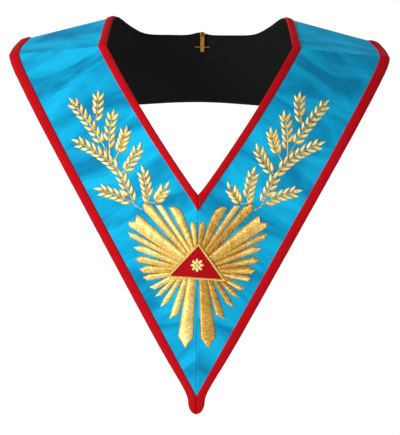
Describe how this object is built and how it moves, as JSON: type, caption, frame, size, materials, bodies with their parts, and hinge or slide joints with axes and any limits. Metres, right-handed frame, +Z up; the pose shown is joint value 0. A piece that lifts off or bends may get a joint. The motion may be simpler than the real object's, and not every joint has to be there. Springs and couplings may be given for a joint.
{
  "type": "masonic collar",
  "caption": "Regalia collar of moire ribbon in worn form, with edge tape, black lining, padded embroidery and a metal hook at the back neck edge.",
  "frame": {"origin": "middle of the neck, level with the tops of the wearer's shoulders", "axes": "+Z up, the front faces -Y, +X to the right as seen from the front"},
  "size_m": [0.4024, 0.2489, 0.4098],
  "materials": {
    "ribbon": "blue moire ribbon",
    "tape": "red woven tape",
    "lining": "black cotton lining",
    "gold_thread": "gold metallised embroidery thread",
    "red_field": "red satin",
    "gilt_metal": "polished gilt brass"
  },
  "bodies": {
    "root": {"panel_front_left": "ribbon", "panel_front_right": "ribbon", "panel_back": "ribbon", "lining_front_left": "lining", "lining_front_right": "lining", "lining_back": "lining", "border_inner_front_left": "tape", "border_inner_front_right": "tape", "border_inner_back": "tape", "border_outer_front_left": "tape", "border_outer_front_right": "tape", "border_outer_back": "tape", "rays_left": "gold_thread", "rays_right": "gold_thread", "spray_left": "gold_thread", "spray_right": "gold_thread", "sprig_left": "gold_thread", "sprig_right": "gold_thread", "triangle_field": "red_field", "triangle_cord": "gold_thread", "triangle_rosette": "gold_thread", "neck_hook": "gilt_metal"}
  },
  "joints": []
}
